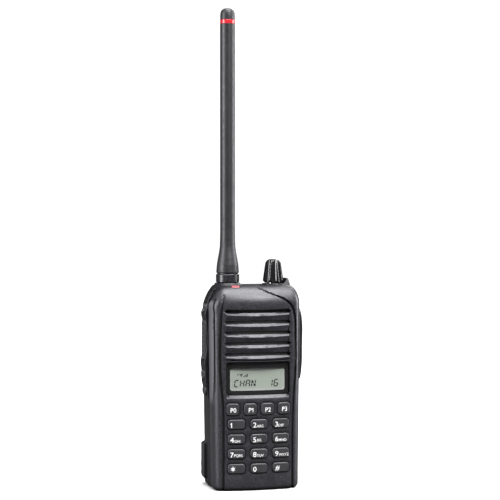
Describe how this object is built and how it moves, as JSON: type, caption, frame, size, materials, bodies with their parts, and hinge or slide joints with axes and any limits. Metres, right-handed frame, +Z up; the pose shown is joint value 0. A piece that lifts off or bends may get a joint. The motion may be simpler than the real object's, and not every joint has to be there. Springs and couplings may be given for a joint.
{
  "type": "handheld radio",
  "caption": "Handheld two-way radio for flight crew: keypad, display, whip antenna, volume knob, side keys, battery pack and sprung belt clip.",
  "frame": {"origin": "centre of the flat base that the radio stands on", "axes": "+Z up along the antenna, keypad facing -Y, talk button on the -X side"},
  "size_m": [0.0613, 0.0477, 0.2955],
  "materials": {
    "case_plastic": "fine grained black polycarbonate",
    "chassis_paint": "fine grained black resin over the frame",
    "key_rubber": "satin grey-black keys",
    "side_rubber": "matte black rubber",
    "mat_rubber": "matte",
    "window_plastic": "clear lens with a black border",
    "display_glass": "grey-green liquid crystal",
    "inner_plastic": "moulded",
    "net_cloth": "woven net",
    "circuit_board": "solder mask",
    "bright_metal": "plated",
    "contact_gold": "gold plated",
    "cone_paper": "coated paper",
    "status_lens": "clear red lens",
    "knob_plastic": "gloss black",
    "antenna_rubber": "smooth black sheath",
    "ring_red": "red band",
    "dark_metal": "black plated",
    "cell_wrap": "shrink wrap",
    "spring_steel": "spring wire"
  },
  "bodies": {
    "radio": {"front_case": "case_plastic", "display_window": "window_plastic", "display_glass": "display_glass", "display_holder": "inner_plastic", "speaker_net": "net_cloth", "keypad_mat": "mat_rubber", "front_board": "circuit_board", "microphone": "bright_metal", "status_lens": "status_lens", "speaker_frame": "bright_metal", "speaker_cone": "cone_paper", "rear_chassis": "chassis_paint", "main_seal": "mat_rubber", "main_board": "circuit_board", "shield_cans": "bright_metal", "side_switches": "inner_plastic", "radio_contacts": "contact_gold", "case_screws": "bright_metal", "jack_block": "inner_plastic", "volume_control": "bright_metal", "antenna_jack": "contact_gold"},
    "key_star": {"key_star": "key_rubber"},
    "key_0": {"key_0": "key_rubber"},
    "key_hash": {"key_hash": "key_rubber"},
    "key_7": {"key_7": "key_rubber"},
    "key_8": {"key_8": "key_rubber"},
    "key_9": {"key_9": "key_rubber"},
    "key_4": {"key_4": "key_rubber"},
    "key_5": {"key_5": "key_rubber"},
    "key_6": {"key_6": "key_rubber"},
    "key_1": {"key_1": "key_rubber"},
    "key_2": {"key_2": "key_rubber"},
    "key_3": {"key_3": "key_rubber"},
    "key_p0": {"key_p0": "key_rubber"},
    "key_p1": {"key_p1": "key_rubber"},
    "key_p2": {"key_p2": "key_rubber"},
    "key_p3": {"key_p3": "key_rubber"},
    "side_key_upper": {"side_key_upper": "side_rubber"},
    "ptt_button": {"ptt_button": "side_rubber"},
    "side_key_middle": {"side_key_middle": "side_rubber"},
    "side_key_lower": {"side_key_lower": "side_rubber"},
    "volume_knob": {"volume_knob": "knob_plastic", "control_shaft": "bright_metal"},
    "antenna": {"antenna_whip": "antenna_rubber", "antenna_ring": "ring_red", "antenna_cap": "antenna_rubber", "antenna_core": "spring_steel", "antenna_base": "dark_metal"},
    "jack_cover": {"jack_cover": "side_rubber"},
    "battery": {"battery_case": "case_plastic", "battery_lid": "case_plastic", "battery_cells": "cell_wrap", "battery_board": "circuit_board", "battery_contacts": "contact_gold", "clip_base": "case_plastic", "clip_pin": "bright_metal", "clip_spring": "spring_steel", "latch_spring": "spring_steel"},
    "battery_latch": {"battery_latch": "case_plastic"},
    "clip_lever": {"clip_lever": "case_plastic"}
  },
  "joints": [
    {"name": "key_star_press", "type": "slide", "parent": "radio", "child": "key_star", "axis": [0.1337, 0.991, 0], "range_m": [0, 0.0005], "stiffness_N_per_m": 1500},
    {"name": "key_0_press", "type": "slide", "parent": "radio", "child": "key_0", "axis": [0, 1, 0], "range_m": [0, 0.0005], "stiffness_N_per_m": 1500},
    {"name": "key_hash_press", "type": "slide", "parent": "radio", "child": "key_hash", "axis": [-0.1337, 0.991, 0], "range_m": [0, 0.0005], "stiffness_N_per_m": 1500},
    {"name": "key_7_press", "type": "slide", "parent": "radio", "child": "key_7", "axis": [0.1337, 0.991, 0], "range_m": [0, 0.0005], "stiffness_N_per_m": 1500},
    {"name": "key_8_press", "type": "slide", "parent": "radio", "child": "key_8", "axis": [0, 1, 0], "range_m": [0, 0.0005], "stiffness_N_per_m": 1500},
    {"name": "key_9_press", "type": "slide", "parent": "radio", "child": "key_9", "axis": [-0.1337, 0.991, 0], "range_m": [0, 0.0005], "stiffness_N_per_m": 1500},
    {"name": "key_4_press", "type": "slide", "parent": "radio", "child": "key_4", "axis": [0.1337, 0.991, 0], "range_m": [0, 0.0005], "stiffness_N_per_m": 1500},
    {"name": "key_5_press", "type": "slide", "parent": "radio", "child": "key_5", "axis": [0, 1, 0], "range_m": [0, 0.0005], "stiffness_N_per_m": 1500},
    {"name": "key_6_press", "type": "slide", "parent": "radio", "child": "key_6", "axis": [-0.1337, 0.991, 0], "range_m": [0, 0.0005], "stiffness_N_per_m": 1500},
    {"name": "key_1_press", "type": "slide", "parent": "radio", "child": "key_1", "axis": [0.1337, 0.991, 0], "range_m": [0, 0.0005], "stiffness_N_per_m": 1500},
    {"name": "key_2_press", "type": "slide", "parent": "radio", "child": "key_2", "axis": [0, 1, 0], "range_m": [0, 0.0005], "stiffness_N_per_m": 1500},
    {"name": "key_3_press", "type": "slide", "parent": "radio", "child": "key_3", "axis": [-0.1337, 0.991, 0], "range_m": [0, 0.0005], "stiffness_N_per_m": 1500},
    {"name": "key_p0_press", "type": "slide", "parent": "radio", "child": "key_p0", "axis": [0.1536, 0.9881, 0], "range_m": [0, 0.0005], "stiffness_N_per_m": 1500},
    {"name": "key_p1_press", "type": "slide", "parent": "radio", "child": "key_p1", "axis": [0.0512, 0.9987, 0], "range_m": [0, 0.0005], "stiffness_N_per_m": 1500},
    {"name": "key_p2_press", "type": "slide", "parent": "radio", "child": "key_p2", "axis": [-0.0512, 0.9987, 0], "range_m": [0, 0.0005], "stiffness_N_per_m": 1500},
    {"name": "key_p3_press", "type": "slide", "parent": "radio", "child": "key_p3", "axis": [-0.1536, 0.9881, 0], "range_m": [0, 0.0005], "stiffness_N_per_m": 1500},
    {"name": "side_key_upper_press", "type": "slide", "parent": "radio", "child": "side_key_upper", "axis": [1, 0, 0], "range_m": [0, 0.0008], "stiffness_N_per_m": 2500},
    {"name": "ptt_button_press", "type": "slide", "parent": "radio", "child": "ptt_button", "axis": [1, 0, 0], "range_m": [0, 0.0008], "stiffness_N_per_m": 2500},
    {"name": "side_key_middle_press", "type": "slide", "parent": "radio", "child": "side_key_middle", "axis": [1, 0, 0], "range_m": [0, 0.0008], "stiffness_N_per_m": 2500},
    {"name": "side_key_lower_press", "type": "slide", "parent": "radio", "child": "side_key_lower", "axis": [1, 0, 0], "range_m": [0, 0.0008], "stiffness_N_per_m": 2500},
    {"name": "volume_turn", "type": "hinge", "parent": "radio", "child": "volume_knob", "pos_m": [0.0142, 0.001, 0.13], "axis": [0, 0, -1], "range_deg": [0, 280]},
    {"name": "antenna_unscrew", "type": "hinge", "parent": "radio", "child": "antenna", "pos_m": [-0.0147, 0.002, 0.13], "axis": [0, 0, 1], "range_deg": [0, 1080]},
    {"name": "jack_cover_open", "type": "hinge", "parent": "radio", "child": "jack_cover", "pos_m": [0.0289, 0.0064, 0.09], "axis": [0, 0, 1], "range_deg": [0, 100]},
    {"name": "battery_tilt", "type": "hinge", "parent": "radio", "child": "battery", "pos_m": [0, 0.01825, 0.0972], "axis": [1, 0, 0], "range_deg": [0, 25]},
    {"name": "latch_slide", "type": "slide", "parent": "battery", "child": "battery_latch", "axis": [0, 0, 1], "range_m": [0, 0.0025], "stiffness_N_per_m": 800, "deforming": ["latch_spring"]},
    {"name": "clip_open", "type": "hinge", "parent": "battery", "child": "clip_lever", "pos_m": [0, 0.0234, 0.084], "axis": [1, 0, 0], "range_deg": [0, 20], "stiffness_Nm_per_rad": 1.2, "springref_deg": -20.05}
  ]
}
